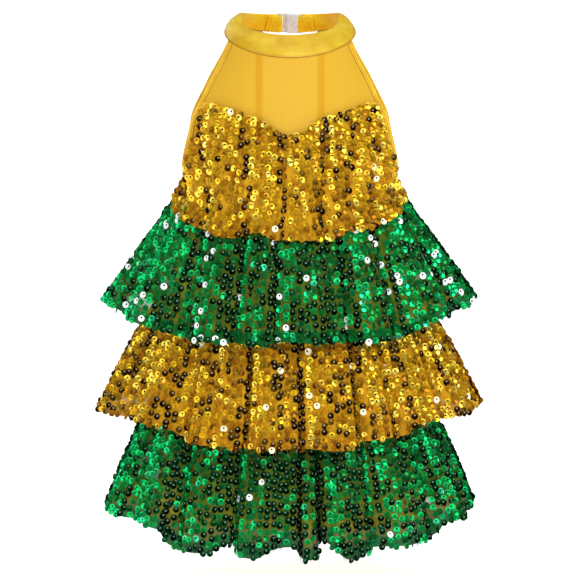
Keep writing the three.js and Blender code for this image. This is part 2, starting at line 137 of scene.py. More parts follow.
# Seam heights at the side and front, how far the hem stands out there, how early, and small gathers
TIERS = table(
    "side_z front_z side_flare front_flare bulge ripple gathers",
    (0, 0, 1, 7, 1.2, 1.2, 37),
    (-152, -159, 58, 27, 1, 1.6, 29),
    (-252, -258, 58, 28, 0.73, 1.6, 31),
    (-350, -356, 47, 28, 0.65, 1.8, 27),
)
HEMS = tables(
    "angle z",
    [
        (-90, -154), (-70, -171), (-52, -181), (-28, -190), (-16, -184), (-7, -191), (19, -191), (27, -184),
        (45, -181), (68, -168), (90, -154),
    ],
    [
        (-90, -256), (-66, -268), (-44, -283), (-12, -288), (0, -285), (22, -286), (48, -282), (57, -269),
        (90, -256),
    ],
    [
        (-90, -359), (-60, -366), (-47, -369), (-42, -379), (-20, -386), (0, -386), (22, -388), (28, -380),
        (43, -377), (48, -366), (90, -359),
    ],
    [
        (-90, -454), (-74, -459), (-66, -461), (-57, -464), (-50, -467), (-46.5, -482), (-41, -486),
        (-30, -486), (-22, -477), (-19, -490), (-13, -490), (-5, -480), (1, -479), (5, -491), (9, -491),
        (12, -474), (21, -491), (25, -491), (29, -486), (33, -481), (50, -480), (57, -478), (61, -465),
        (66, -463), (74, -461), (90, -454),
    ],
)
# The largest folds of each tier: a soft ridge at this angle, this wide and this deep at the hem
FOLDS = tables(
    "angle width depth",
    [
        (-76, 6, 2), (-57, 6, 5), (-38, 5, 4), (-22, 5, 6), (-5, 6, 5), (9, 4, 6), (22, 5, 4), (38, 7, 6),
        (59, 6, 5), (78, 6, 2),
    ],
    [
        (-82, 6, 6), (-62, 6, 9), (-31, 7, 10), (-10, 6, 7), (8, 7, 9), (34, 7, 10), (61, 6, 9), (79, 5, 6),
    ],
    [
        (-78, 7, 8), (-53, 6, 9), (-33, 5, 8), (-7, 7, 10), (17, 5, 9), (31, 5, 7), (47, 5, 9), (68, 7, 8),
    ],
    [
        (-73, 7, 8), (-53, 6, 7), (-32, 7, 11), (-10, 6, 9), (6, 4, 8), (19, 5, 9), (41, 8, 10), (67, 6, 8),
    ],
)
# Sharp pleats between the folds: narrow troughs at this angle, this wide and this deep at the hem
PLEATS = tables(
    "angle width depth",
    [
        (-46, 1.4, 2.5), (-21, 1.3, 3), (-3.5, 1.2, 3), (16, 1.3, 3), (30, 1.2, 2.5), (44, 1.4, 3),
        (-66, 1.5, 2),
    ],
    [
        (-45, 1.5, 9), (-22, 1.4, 8), (-6, 1.1, 6), (24, 1.5, 8), (43, 1.5, 9), (-70, 1.6, 7), (66, 1.6, 7),
    ],
    [
        (-42, 1.5, 8), (-30, 1.1, 6), (-17, 1.3, 8), (4, 1.3, 7), (27, 1.4, 9), (42, 1.3, 8), (-67, 1.6, 6),
        (62, 1.5, 8),
    ],
    [
        (-44, 1.5, 10), (-21, 1.4, 10), (3.7, 1.3, 9), (11, 1.2, 10), (31, 1.4, 9), (57, 1.5, 10),
        (-64, 1.5, 7), (76, 1.5, 6),
    ],
)
FOLD_GROWTH = 0.8
PLEATS_AT_SEAM = 0.25  # the share of a pleat's depth that it has at the seam
FIRST_TIER_PLEATS = 0.7  # and the most that it has on the fitted tier
LAID_FOLDS = 0.5
SIDE_SHARPNESS = 3
GATHER_WANDER = {"depth": 1.3, "turns": 5}
TIER_LENGTH = 0.13  # metres
NET_END = 0.995  # the net ends above the lowest sequins' lower edges
DOUBLED_FROM = [0.84, 0.84, 0.84, 0.74]  # how far down each tier's net begins to be doubled

# Sequins
SEQUIN_RADIUS = 3.2
SEQUIN_CUP = 0.24  # how far the rim stands above the middle
SEQUIN_SIDES = 12
SEQUIN_ACROSS = 6.6  # from column to column
SEQUIN_DOWN = 6.7  # from one to the next down a column
COLUMN_LEVEL = 0.7  # the columns are evenly spaced this far down
CROWDED = 5.4  # where columns come closer than this, some sequins are left out
HEM_RISE = 1.6  # how far the lowest sequins' middles lie above the hem
HEM_FILLED = 0.85  # the share of the staggered columns that have one more sequin on the hem
HOLE_RADIUS = 0.95
HOLE_RISE = 1.0  # the hole lies this far above the middle
# The share of sequins that hang loose, more from here down, and the most that they turn
HANGING = {"from": 0.96, "at_hem": 0.4, "above": 0.06, "turn": 65}
# How uneven they are: in place, size and turn
UNEVEN = {"along": 0.8, "aside": 0.75, "size": 0.03, "yaw": 8, "lift": 6, "spin": 28}
LIFT = 8  # degrees that a sequin's lower edge stands out
# Painted light on each tier's sequins: more bright ones at this angle, this wide and by this much
LIT = table("angle width by", (0, 30, 0), (-66, 14, 1.5), (0, 30, 0), (-66, 22, 0.7))
# How strongly painted light and shade, from the cloth's lean and from the pleats, move the sequins' tones
PAINTED_SHADE_WEIGHT = 1.3
SIDE_FACING = 0.9  # how strongly sequins near the sides turn to the front or back
# The shares of each tier's sequins painted dark and bright as reflections, and painted as white glints
SHARES = table(
    "dark bright glint", (0.13, 0.29, 0.008), (0.34, 0.23, 0.052), (0.24, 0.3, 0.014), (0.46, 0.22, 0.004)
)
MIDDLING = 0.56  # the tone between the dark and the bright ones
# Rims are painted: darker on bright sequins, lighter on dark ones
RIM_PAINTED_SHADE = 0.35  # how far a rim's tone goes to that one
MAP_FILL = 0.42  # a sequin's radius as a share of its cell in the map


def unit(vectors):
    return vectors / np.linalg.norm(vectors, axis=-1, keepdims=True)


def bell(apart, width):
    return np.exp(-((apart / width) ** 2))


def full_turn(count):
    """Angles in radians evenly spaced all the way round."""
    return np.linspace(0, 2 * np.pi, count, endpoint=False)


def circle_points(count):
    turns = full_turn(count)
    return np.stack([np.cos(turns), np.sin(turns)], -1)


def squared_off(values, power):
    """Values from -1 to 1 that a power below 1 keeps nearer to the ends."""
    return np.sign(values) * np.abs(values) ** power


def along(points):
    """The distance along each line of points, from 0 at its start."""
    steps = np.linalg.norm(np.diff(points, axis=0), axis=-1)
    return np.concatenate([np.zeros((1, *steps.shape[1:])), np.cumsum(steps, 0)])


def through(rows, source, target, at):
    """The smooth value of column `target` where column `source` is `at`, never past the rows beside it."""
    order = np.argsort(rows[source])
    xs, ys = rows[source][order], rows[target][order]
    at = np.clip(at, xs[0], xs[-1])
    i = np.clip(np.searchsorted(xs, at, side="right") - 1, 0, len(xs) - 2)
    rise = np.diff(ys) / np.diff(xs)
    product, total = rise[:-1] * rise[1:], rise[:-1] + rise[1:]
    inner = np.where(product > 0, 2 * product / np.where(product > 0, total, 1), 0)
    slope = np.concatenate([rise[:1], inner, rise[-1:]])
    span = xs[i + 1] - xs[i]
    t = (at - xs[i]) / span
    straight = ys[i] + (ys[i + 1] - ys[i]) * t * t * (3 - 2 * t)
    return straight + span * t * (1 - t) * ((1 - t) * slope[i] - t * slope[i + 1])


def half_sizes(z):
    """Half the width and half the depth of the body of the dress at a height."""
    return through(BODY, "z", "half_width", z), through(BODY, "z", "half_depth", z)


def on_body(angle, z, out=0):
    """Points on the body of the dress, moved level away from it."""
    angle, z, out = np.broadcast_arrays(np.radians(angle), np.asarray(z, float), out)
    half_width, half_depth = half_sizes(z)
    across, forth = np.sin(angle), -np.cos(angle)
    away = unit(np.stack([across / half_width, forth / half_depth], -1))
    x = across * half_width + away[..., 0] * out
    y = forth * half_depth + away[..., 1] * out
    return np.stack([x, y, z], -1)


def angle_of(points):
    """The angles on the body of points near it."""
    half_width, half_depth = half_sizes(points[..., 2])
    return np.degrees(np.arctan2(points[..., 0] / half_width, -points[..., 1] / half_depth))


def collar_top(angle):
    return through(COLLAR_TOP_EDGE, "angle", "z", np.abs(angle))


def collar_foot(angle):
    a = np.radians(angle)
    return COLLAR_FOOT["level"] + COLLAR_FOOT["tip"] * np.cos(a) + COLLAR_FOOT["dip"] * np.cos(2 * a)


def path_rows(angles, heights):
    """A path of angle and height, with the share of its length at each point."""
    points = on_body(np.array(angles), np.array(heights))
    steps = np.linalg.norm(np.diff(points, axis=0), axis=1)
    share = np.concatenate([[0], np.cumsum(steps)]) / steps.sum()
    return {"share": share, "angle": np.array(angles, float), "z": np.array(heights, float)}


def armhole_path():
    """The armhole's edge, from the collar's front under the arm to its back."""
    angles = [*ARMHOLE["angle"], *(180 - ARMHOLE["angle"][-2::-1])]
    heights = [*ARMHOLE["z"], *ARMHOLE["z"][-2:0:-1], ARMHOLE_BACK_TOP]
    return path_rows(angles, heights)


def opening_angle(z):
    """The angle from the centre back of the back opening's edge."""
    return np.degrees(np.arcsin(BACK_OPENING_HALF_WIDTH / half_sizes(z)[0]))


def back_opening_path():
    top = collar_foot(180 - BACK_OPENING_TOP) - CLOTH
    foot = back_line(BACK_OPENING_TOP) + CLOTH
    heights = np.linspace(top, foot, 9)
    return path_rows(180 - opening_angle(heights), heights)


def beside(path, share, aside, out):
    """Points beside an edge path: `aside` mm along the cloth from the opening, `out` mm off the cloth."""
    def at(s):
        return through(path, "share", "angle", s), through(path, "share", "z", s)

    reach = 0.003
    before, after = on_body(*at(np.clip(share - reach, 0, 1))), on_body(*at(np.clip(share + reach, 0, 1)))
    here = on_body(*at(share))
    away = unit(np.cross(after - before, on_body(*at(share), 1) - here))
    point = here + away * np.asarray(aside)[..., None]
    return on_body(angle_of(point), point[..., 2], out)


def armhole_rows(inset):
    """The front armhole edge, `inset` mm in from the opening, as rows of angle and height."""
    points = beside(armhole_path(), np.linspace(0, 0.5, 90), np.full(90, inset), 0)
    keep = np.concatenate([[True], np.diff(np.minimum.accumulate(points[:, 2])) < -0.01])
    return {"angle": angle_of(points)[keep], "z": points[keep, 2]}


def seam_angle(z):
    return 90 - np.degrees(SEAM_GAP / 2 / half_sizes(z)[0])


def edge_angle(rows, z):
    """The angle at which a panel ends at a height: the armhole's edge, and below it the side seam."""
    bound = np.minimum(seam_angle(z), through(rows, "z", "angle", z))
    return np.where(z <= rows["z"].min(), seam_angle(z), bound)


def sweetheart(angle):
    return through(SWEETHEART, "angle", "z", np.abs(angle))


def back_line(angle):
    return through(BACK_LINE, "angle", "z", np.abs(angle))


BARE_EDGE = armhole_rows(0)
TIER_EDGE = armhole_rows(BINDING_WIDTH + BINDING_CLEARANCE)


def panel(edge, top, foot, corner, down, side):
    """Angle and height on a panel whose sides follow the armhole, `side` from -1 to 1 across it."""
    def height(top_angle, foot_angle):
        return top(top_angle) + (foot(foot_angle) - top(top_angle)) * down

    ends = np.array([edge_angle(edge, corner), edge_angle(edge, foot(90.0))])
    return side * edge_angle(edge, height(*ends)), height(side * ends[0], side * ends[1])


def half_turn(angle):
    return np.mod(np.asarray(angle) + 90, 180) - 90


def hem_z(number, angle):
    return through(HEMS[number], "angle", "z", half_turn(angle))


def sideways(angle):
    return np.abs(np.sin(np.radians(angle))) ** SIDE_SHARPNESS


def ridges(rows, angle):
    """The height at an angle of soft ridges, each with its own angle, width and depth."""
    apart = half_turn(np.asarray(angle)[..., None] - rows["angle"])
    return (rows["depth"] * bell(apart, rows["width"])).sum(-1)


def folds_at(number, angle):
    """How far a tier's main folds and small gathers stand out at an angle, at the hem."""
    wander = GATHER_WANDER["depth"] * np.sin(np.radians(angle * GATHER_WANDER["turns"]))
    small = TIERS["ripple"][number] / 2 * (1 + np.sin(np.radians(angle * TIERS["gathers"][number]) + wander))
    return ridges(FOLDS[number], angle) + small


def front_to_side(what, number, angle):
    """A tier's value at an angle, between those at its front and at its side."""
    front, side = TIERS[f"front_{what}"][number], TIERS[f"side_{what}"][number]
    return front + (side - front) * sideways(angle)


def seam_z(number, angle):
    return front_to_side("z", number, angle)


def flare_at(number, angle, down):
    return front_to_side("flare", number, angle) * down ** TIERS["bulge"][number]


def crumple(angle, z):
    """Small soft dents all over the net, which turn the sequins this way and that."""
    a = np.radians(angle)
    broad = np.sin(21 * a + z * 0.11) * np.sin(z * 0.23 + 9 * a)
    fine = np.sin(47 * a - z * 0.19 + 1.7) * np.sin(z * 0.31 + 17 * a)
    return 0.9 * broad + 0.5 * fine


def tier_out(number, angle, z):
    """How far a lower tier's outer side stands off the body."""
    seam = seam_z(number, angle)
    down = np.clip((seam - z) / (seam - hem_z(number, angle)), 0, 1)
    spread = flare_at(number, angle, down) + folds_at(number, angle) * down**FOLD_GROWTH
    return NET_OUTSIDE + spread


def first_tier_out(angle, z, down):
    """Tier 1 lies on the slip, and over the top of tier 2 below its seam."""
    below = np.where(z < seam_z(1, angle), tier_out(1, angle, z), 0)
    folds = folds_at(0, angle) * down
    own = NET_OUTSIDE + flare_at(0, angle, down) + folds
    return np.maximum(own, below + NET + LAYER_GAP + LAID_FOLDS * folds)


def tier_surface(number):
    """A lower tier as a tube: round and down from 0 to 1, and past 1 below the hem."""
    def at(round_, down):
        angle = round_ * 360
        z = seam_z(number, angle) + (hem_z(number, angle) - seam_z(number, angle)) * down
        grown = np.clip(down, 0, 1)
        drawn_in = ridges(PLEATS[number], angle) * (PLEATS_AT_SEAM + (1 - PLEATS_AT_SEAM) * grown)
        out = tier_out(number, angle, z) - NET / 2 + crumple(angle, z) * grown - drawn_in
        return on_body(angle, z, np.maximum(out, CLOTH + 0.5))

    return at


def first_tier_surface(line, turn):
    """Tier 1's front or back as a panel between the armholes."""
    def at(round_, down):
        side = np.clip(round_, 0, 1) * 2 - 1
        angle, z = panel(TIER_EDGE, line, lambda a: hem_z(0, a), line(LINE_END), down, side)
        grown = np.clip(down, 0, 1)
        out = first_tier_out(angle, z, grown) - NET / 2 + 0.5 * crumple(angle + turn, z)
        drawn_in = ridges(PLEATS[0], angle) * np.minimum(grown, FIRST_TIER_PLEATS)
        return on_body(angle + turn, z, out - drawn_in)

    return at


def mesh_object(name, points, *face_sets):
    """An object from points in millimetres and arrays of faces."""
    mesh = bpy.data.meshes.new(name)
    loops = np.concatenate([np.asarray(f).ravel() for f in face_sets])
    sizes = np.concatenate([np.full(len(f), np.asarray(f).shape[1]) for f in face_sets])
    mesh.vertices.add(len(points))
    mesh.vertices.foreach_set("co", (np.asarray(points, float) * MM).ravel())
    mesh.loops.add(len(loops))
    mesh.loops.foreach_set("vertex_index", loops.astype(np.int32))
    mesh.polygons.add(len(sizes))
    mesh.polygons.foreach_set("loop_start", np.concatenate([[0], np.cumsum(sizes)[:-1]]).astype(np.int32))
    mesh.update(calc_edges=True)
    mesh.shade_smooth()
    made = bpy.data.objects.new(name, mesh)
    bpy.context.scene.collection.objects.link(made)
    return made


def grid_faces(rows, columns, wrap=False):
    """Quads between rows of points that run down and columns that run round."""
    r, c = np.meshgrid(np.arange(rows - 1), np.arange(columns if wrap else columns - 1), indexing="ij")
    right = (c + 1) % columns
    corners = [r * columns + c, (r + 1) * columns + c, (r + 1) * columns + right, r * columns + right]
    return np.stack([k.ravel() for k in corners], -1)


def repeat_faces(faces, count, step):
    """The faces of one shape, repeated for `count` shapes of `step` points each."""
    faces = np.asarray(faces)
    return (faces[None] + (np.arange(count) * step)[:, None, None]).reshape(-1, faces.shape[1])


def cloth_object(name, points, wrap=False):
    rows, columns = points.shape[:2]
    return mesh_object(name, points.reshape(-1, 3), grid_faces(rows, columns, wrap))


def settle(piece, material, replaced=()):
    """Give a piece its material and slot, and set it on the dress."""
    piece.data.materials.append(material)
    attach(piece, "root")
    if replaced:
        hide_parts(*replaced)
    return piece


# Materials


class Shader:
    """A Principled material with short calls for the nodes that feed it."""

    def __init__(self, name, **values):
        self.material = bpy.data.materials.new(name)
        self.material.use_nodes = True
        self.tree = self.material.node_tree
        self.principled = self.tree.nodes["Principled BSDF"]
        self.place = self.add("ShaderNodeTexCoord").outputs["Object"]
        for key, value in values.items():
            self.principled.inputs[key.replace("_", " ").title().replace("Ior", "IOR")].default_value = value

    def add(self, kind, links=None, **settings):
        node = self.tree.nodes.new(kind)
        for key, value in settings.items():
            setattr(node, key, value)
        for key, source in (links or {}).items():
            if isinstance(source, bpy.types.NodeSocket):
                self.tree.links.new(source, node.inputs[key])
            else:
                node.inputs[key].default_value = source
        return node

    def noise(self, scale, detail=2.0, stretch=(1, 1, 1)):
        mapping = self.add("ShaderNodeMapping", {"Vector": self.place, "Scale": stretch})
        links = {"Vector": mapping.outputs["Vector"], "Scale": scale, "Detail": detail}
        return self.add("ShaderNodeTexNoise", links).outputs["Fac"]

    def wave(self, scale, axis, distortion=0.0):
        links = {"Vector": self.place, "Scale": scale, "Distortion": distortion, "Detail": 1.0}
        return self.add("ShaderNodeTexWave", links, bands_direction=axis).outputs["Fac"]

    def attribute(self, name):
        return self.add("ShaderNodeAttribute", attribute_name=name).outputs["Fac"]

    def mix(self, factor, first, second):
        return self.add("ShaderNodeMix", {"Factor": factor, 6: first, 7: second}, data_type="RGBA").outputs[2]

    def math(self, operation, a, b):
        return self.add("ShaderNodeMath", {0: a, 1: b}, operation=operation).outputs["Value"]

    def remap(self, value, low, high, to_low, to_high):
        links = {"Value": value, "From Min": low, "From Max": high, "To Min": to_low, "To Max": to_high}
        return self.add("ShaderNodeMapRange", links).outputs["Result"]

    def ramp(self, value, stops):
        node = self.add("ShaderNodeValToRGB", {"Fac": value})
        elements = node.color_ramp.elements
        while len(elements) < len(stops):
            elements.new(0.5)
        for element, (position, color) in zip(elements, stops):
            element.position = position
            element.color = (*color, 1)
        return node.outputs["Color"]

    def feed(self, socket, source):
        self.tree.links.new(source, self.principled.inputs[socket])

    def bump(self, height, depth, strength=1.0):
        links = {"Height": height, "Distance": depth * MM, "Strength": strength}
        if self.principled.inputs["Normal"].links:
            links["Normal"] = self.principled.inputs["Normal"].links[0].from_socket
        self.feed("Normal", self.add("ShaderNodeBump", links).outputs["Normal"])


def satin_material(name, dark, middle, light):
    shader = Shader(name, roughness=0.4, specular_ior_level=0.24, anisotropic=0.4)
    folds = shader.noise(38, 2, (1, 1, 2.2))
    # The colour follows the folds' bump noise: painted shade in the troughs and a painted sheen on the
    # crests.
    cloth = shader.ramp(folds, [(0.32, dark), (0.5, middle), (0.68, light)])
    # The seam mark gives a painted contact shadow along the band's foot.
    shader.feed("Base Color", shader.mix(shader.attribute("seam"), cloth, (0.42, 0.17, 0.004, 1)))
    shader.bump(folds, 1.6, 0.5)
    shader.bump(shader.noise(160, 3, (1, 1, 0.5)), 0.3, 0.5)
    shader.bump(shader.wave(420, "DIAGONAL", 0.4), 0.06, 0.5)
    return shader.material


def mesh_material():
    shader = Shader("yoke_mesh", roughness=0.75, specular_ior_level=0.15)
    ribs = shader.wave(135, "X", 0.15)
    cloth = shader.ramp(ribs, [(0.2, (0.66, 0.375, 0.022)), (0.8, (0.69, 0.4, 0.03))])
    # Where the behind mark is set, the darker colour is painted shade of the back bindings seen through the
    # mesh.
    shader.feed("Base Color", shader.mix(shader.attribute("behind"), cloth, (0.6, 0.3, 0.008, 1)))
    shader.feed("Alpha", shader.remap(ribs, 0.1, 0.9, 1.0, 0.985))
    shader.bump(ribs, 0.12, 0.5)
    return shader.material


def knit_material(name, dark, light):
    shader = Shader(name, roughness=0.7, specular_ior_level=0.2)
    shader.feed("Base Color", shader.ramp(shader.noise(60, 4), [(0.35, dark), (0.65, light)]))
    shader.bump(shader.noise(25, 3), 0.8, 0.3)
    shader.bump(shader.noise(1500, 1, (1, 1, 0.35)), 0.12, 0.7)
    return shader.material


def binding_material():
    shader = Shader("binding_jersey", roughness=0.6, specular_ior_level=0.2)
    cloth = shader.ramp(shader.noise(60, 4), [(0.35, (0.76, 0.43, 0.022)), (0.65, (0.88, 0.56, 0.045))])
    # The seam mark puts painted shade in the stitch groove and a painted contact shadow along the inner edge.
    shader.feed("Base Color", shader.mix(shader.attribute("seam"), cloth, (0.36, 0.14, 0.004, 1)))
    shader.bump(shader.noise(1500, 1, (1, 1, 0.35)), 0.12, 0.7)
    return shader.material


def net_material(name, dark, light, lined, hemmed, thread_alpha, hole_alpha):
    shader = Shader(name, roughness=0.7, specular_ior_level=0.08)
    links = {"Vector": shader.place, "Scale": 780.0}
    cells = shader.add("ShaderNodeTexVoronoi", links, feature="DISTANCE_TO_EDGE")
    hem = shader.attribute("hem")
    doubled = shader.remap(hem, 0.0, 0.4, 0.0, 1.0)
    single = shader.ramp(shader.noise(70, 2), [(0.35, dark), (0.65, light)])
    double = shader.ramp(hem, [(0.5, lined), (0.8, hemmed)])
    shader.feed("Base Color", shader.mix(doubled, single, double))
    alpha = shader.remap(cells.outputs["Distance"], 0.05, 0.3, thread_alpha, hole_alpha)
    shader.feed("Alpha", shader.math("MAXIMUM", alpha, shader.remap(doubled, 0.0, 1.0, 0.0, 0.98)))
    return shader.material


# How metallic a sequin is by its painted tone: dark and bright ones mirror the room, middling ones glow
# evenly and the painted glints are plain white
GLOSS = [(0, 1), (0.2, 1), (0.34, 0.45), (0.56, 0.45), (0.78, 0.8), (0.93, 0.85), (0.97, 0.1)]


def sequin_material(name, stops, shifted_stops, shifted_from):
    shader = Shader(name, roughness=0.22, specular_ior_level=0.08)
    # The tone mark carries painted light: dark and bright tones are painted reflections and shade, the top
    # tone a painted glint.
    tone = shader.attribute("tone")
    shifted = shader.remap(shader.attribute("hue"), shifted_from, shifted_from + 0.04, 0.0, 1.0)
    shader.feed("Metallic", shader.ramp(tone, [(at, (grey, grey, grey)) for at, grey in GLOSS]))
    colors = shader.mix(shifted, shader.ramp(tone, stops), shader.ramp(tone, shifted_stops))
    shader.feed("Base Color", colors)
    shader.bump(shader.noise(420, 2), 0.1, 0.4)
    return shader.material


def thread_material(name, color):
    shader = Shader(name, roughness=0.75)
    twist = shader.noise(900, 1)
    shader.feed("Base Color", shader.ramp(twist, [(0.3, tuple(0.6 * c for c in color)), (0.7, color)]))
    shader.bump(twist, 0.1, 0.8)
    return shader.material


def hole_material(name, highlight_in_dark, in_middling, in_bright):
    """The hole and its knot: a painted highlight in dark sequins, hardly seen in middling ones, dark in
    bright ones.
    """
    shader = Shader(name, roughness=0.75, specular_ior_level=0.05)
    stops = [(0.2, highlight_in_dark), (0.3, in_middling), (0.62, in_middling), (0.76, in_bright)]
    shader.feed("Base Color", shader.ramp(shader.attribute("tone"), stops))
    return shader.material


def clasp_material():
    shader = Shader("clasp_plastic", roughness=0.5, ior=1.49, transmission_weight=0.06, coat_weight=0.1)
    streaks = shader.noise(420, 2, (1, 1, 0.1))
    shader.feed("Base Color", shader.ramp(streaks, [(0.36, (0.8, 0.8, 0.88)), (0.62, (0.98, 0.98, 1.0))]))
    shader.bump(shader.noise(500, 2), 0.1, 0.5)
    return shader.material


SATIN = satin_material("satin", (0.58, 0.34, 0.008), (0.66, 0.42, 0.014), (0.74, 0.52, 0.035))
# A brighter copy of the satin for the band's inside, its turned-back ends and the loops: painted light where
# these lie in shade.
SATIN_INSIDE_PAINTED_LIGHT = satin_material("satin_inside_painted_light", (0.98, 0.5, 0.003), (1.0, 0.64, 0.008), (1.0, 0.76, 0.03))
MESH = mesh_material()
TRIM = binding_material()
SLIP = knit_material("slip_jersey", (0.8, 0.5, 0.03), (0.92, 0.62, 0.06))
PLASTIC = clasp_material()
YELLOW_THREAD = thread_material("yellow_thread", (0.6, 0.28, 0.012))
GOLD_LOOK = {
    "slot": "sequin_gold",
    "net": net_material(
        "gold_net", (0.54, 0.25, 0.006), (0.7, 0.36, 0.012), (0.5, 0.24, 0.008), (0.5, 0.24, 0.008),
        0.97, 0.87
    ),
    "hole": hole_material("gold_hole", (0.3, 0.24, 0.15), (0.26, 0.12, 0.003), (0.05, 0.022, 0.003)),
    "thread": thread_material("gold_wisp", (0.5, 0.27, 0.02)),
    "sequin": sequin_material("gold_sequin", [
        (0.0, (0.008, 0.004, 0.0005)), (0.16, (0.05, 0.025, 0.002)), (0.24, (0.14, 0.07, 0.003)),
        (0.34, (0.33, 0.165, 0.004)), (0.52, (0.6, 0.325, 0.008)), (0.76, (0.88, 0.56, 0.02)),
        # The tone 1.0 stops here and below are painted white glints.
        (0.92, (1.0, 0.74, 0.1)), (1.0, (1.0, 0.95, 0.62)),
    ], [
        (0.0, (0.01, 0.004, 0.0005)), (0.16, (0.06, 0.022, 0.002)), (0.34, (0.28, 0.1, 0.003)),
        (0.52, (0.46, 0.2, 0.004)), (0.76, (0.7, 0.36, 0.014)), (0.92, (0.9, 0.6, 0.06)),
        (1.0, (1.0, 0.95, 0.62)),
    ], 0.6),
}
GREEN_LOOK = {
    "slot": "sequin_green",
    "net": net_material(
        "green_net", (0.03, 0.095, 0.008), (0.07, 0.165, 0.012), (0.15, 0.15, 0.01), (0.003, 0.1, 0.014),
        0.85, 0.55
    ),
    "hole": hole_material("green_hole", (0.12, 0.2, 0.13), (0.002, 0.085, 0.015), (0.003, 0.03, 0.01)),
    "thread": thread_material("green_wisp", (0.03, 0.2, 0.06)),
    "sequin": sequin_material("green_sequin", [
        (0.0, (0.0004, 0.006, 0.002)), (0.16, (0.0008, 0.024, 0.006)), (0.34, (0.002, 0.08, 0.014)),
        (0.52, (0.004, 0.2, 0.03)), (0.76, (0.005, 0.42, 0.085)), (0.92, (0.008, 0.62, 0.17)),
        # The tone 1.0 stops here and below are painted white glints.
        (1.0, (0.95, 1.0, 0.97)),
    ], [
        (0.0, (0.0004, 0.006, 0.002)), (0.16, (0.0008, 0.026, 0.008)), (0.34, (0.002, 0.08, 0.018)),
        (0.52, (0.004, 0.2, 0.045)), (0.76, (0.008, 0.46, 0.14)), (0.92, (0.05, 0.75, 0.38)),
        (1.0, (0.95, 1.0, 1.0)),
    ], 0.84),
}
LOOKS = [GOLD_LOOK, GREEN_LOOK, GOLD_LOOK, GREEN_LOOK]


def sequin_places(surface, first, top_row, rng):
    """Where the sequins go, as shares round and down: in columns from the hem up, every other staggered."""
    around = np.linspace(0, 1, 1201)
    run = along(surface(around, np.full_like(around, COLUMN_LEVEL)))
    count = int(run[-1] / SEQUIN_ACROSS)
    shares = np.interp((np.arange(count) + 0.5) / count * run[-1], run, around)
    downs = np.linspace(first, 1, 60)
    columns = surface(*np.meshgrid(shares, downs))
    lengths = along(columns)
    places = []
    for number, share in enumerate(shares):
        total = lengths[-1, number]
        start = HEM_RISE + (number % 2) * SEQUIN_DOWN / 2 + rng.normal(0, 0.6)
        spots = total - np.arange(start, total, SEQUIN_DOWN)
        if rng.random() < HEM_FILLED and number % 2:
            spots = np.append(spots, total - HEM_RISE + rng.normal(0, 0.8))
        if top_row:
            spots = np.append(spots[spots > SEQUIN_DOWN / 2], max(0, rng.normal(0.6, 0.8)))
        spots = spots + rng.normal(0, UNEVEN["along"], len(spots))
        places.append(np.stack([np.full(len(spots), share), np.interp(spots, lengths[:, number], downs)], -1))
    places = np.concatenate(places)
    places[:, 0] = np.clip(places[:, 0] + rng.normal(0, UNEVEN["aside"] / run[-1], len(places)), 0, 1)
    step = 0.5 / count
    beside_it = surface(np.clip(places[:, 0] + step, 0, 1), places[:, 1])
    apart = np.linalg.norm(beside_it - surface(np.clip(places[:, 0] - step, 0, 1), places[:, 1]), axis=-1)
    return places[rng.random(len(places)) < apart / CROWDED]


def sequin_shape():
    """One sequin: rings of points from the hole to the rim, then the middle of the hole."""
    circle = circle_points(SEQUIN_SIDES)
    rings = []
    for radius, rise, height in [
        (HOLE_RADIUS, HOLE_RISE, 0.0),
        (SEQUIN_RADIUS * 0.84, HOLE_RISE * 0.1, SEQUIN_CUP * 0.3),
        (SEQUIN_RADIUS, 0, SEQUIN_CUP),
    ]:
        ring = circle * radius + (0, rise)
        rings.append(np.column_stack([ring, np.full(SEQUIN_SIDES, height)]))
    points = np.concatenate([*rings, [[0, HOLE_RISE, -0.25]]])
    faces = grid_faces(3, SEQUIN_SIDES, wrap=True)
    k = np.arange(SEQUIN_SIDES)
    cap = np.stack([np.full(SEQUIN_SIDES, 3 * SEQUIN_SIDES), k, (k + 1) % SEQUIN_SIDES], -1)
    return points, faces, cap


def tangents(surface, places):
    """Centre, outward normal and downward direction of the cloth at each place."""
    step = 0.002
    u, v = places.T
    here = surface(u, v)
    across = surface(np.clip(u + step, 0, 1), v) - surface(np.clip(u - step, 0, 1), v)
    downward = unit(surface(u, v + step * 4) - surface(u, v - step * 4))
    return here, unit(np.cross(downward, across)), downward


def turn_about(vectors, axes, angles):
    """Each vector turned about its axis by its angle, in radians."""
    c, s = np.cos(angles)[:, None], np.sin(angles)[:, None]
    lengthwise = axes * (vectors * axes).sum(-1, keepdims=True)
    return vectors * c + np.cross(axes, vectors) * s + lengthwise * (1 - c)


def patches(places):
    """A smooth uneven pattern over the cloth, about from -1 to 1."""
    u, v = places.T
    broad = np.sin(u * 53 + 3 * np.sin(v * 5)) * np.sin(v * 9 - u * 29 + 1)
    fine = np.sin(u * 139 - v * 21 + 2) * np.sin(v * 25 + u * 61)
    return 0.6 * broad + 0.6 * fine


def rank(score):
    """Each value's place in the order of them all, from 0 to 1."""
    return np.argsort(np.argsort(score)) / len(score)


def tones(rng, places, lean, number):
    """Painted brightness of each sequin: dark and bright ones in patches along the folds, a few white glints.
    """
    score = patches(places) - PAINTED_SHADE_WEIGHT * lean + 0.75 * rng.standard_normal(len(places))
    order = rank(score)
    dark, middle = SHARES["dark"][number], 1 - SHARES["bright"][number]
    levels = [0, dark * 0.65, dark, dark + 0.08, middle - 0.03, middle, 1]
    tone = np.interp(order, levels, [0.0, 0.1, 0.2, 0.3, MIDDLING, 0.76, 0.9])
    # A few sequins are painted white as glints, more among the brighter ones.
    glint = rng.random(len(places)) < SHARES["glint"][number] * (0.4 + 1.2 * order)
    return np.where(glint, 1, np.clip(tone + rng.normal(0, 0.035, len(places)), 0, 0.93))


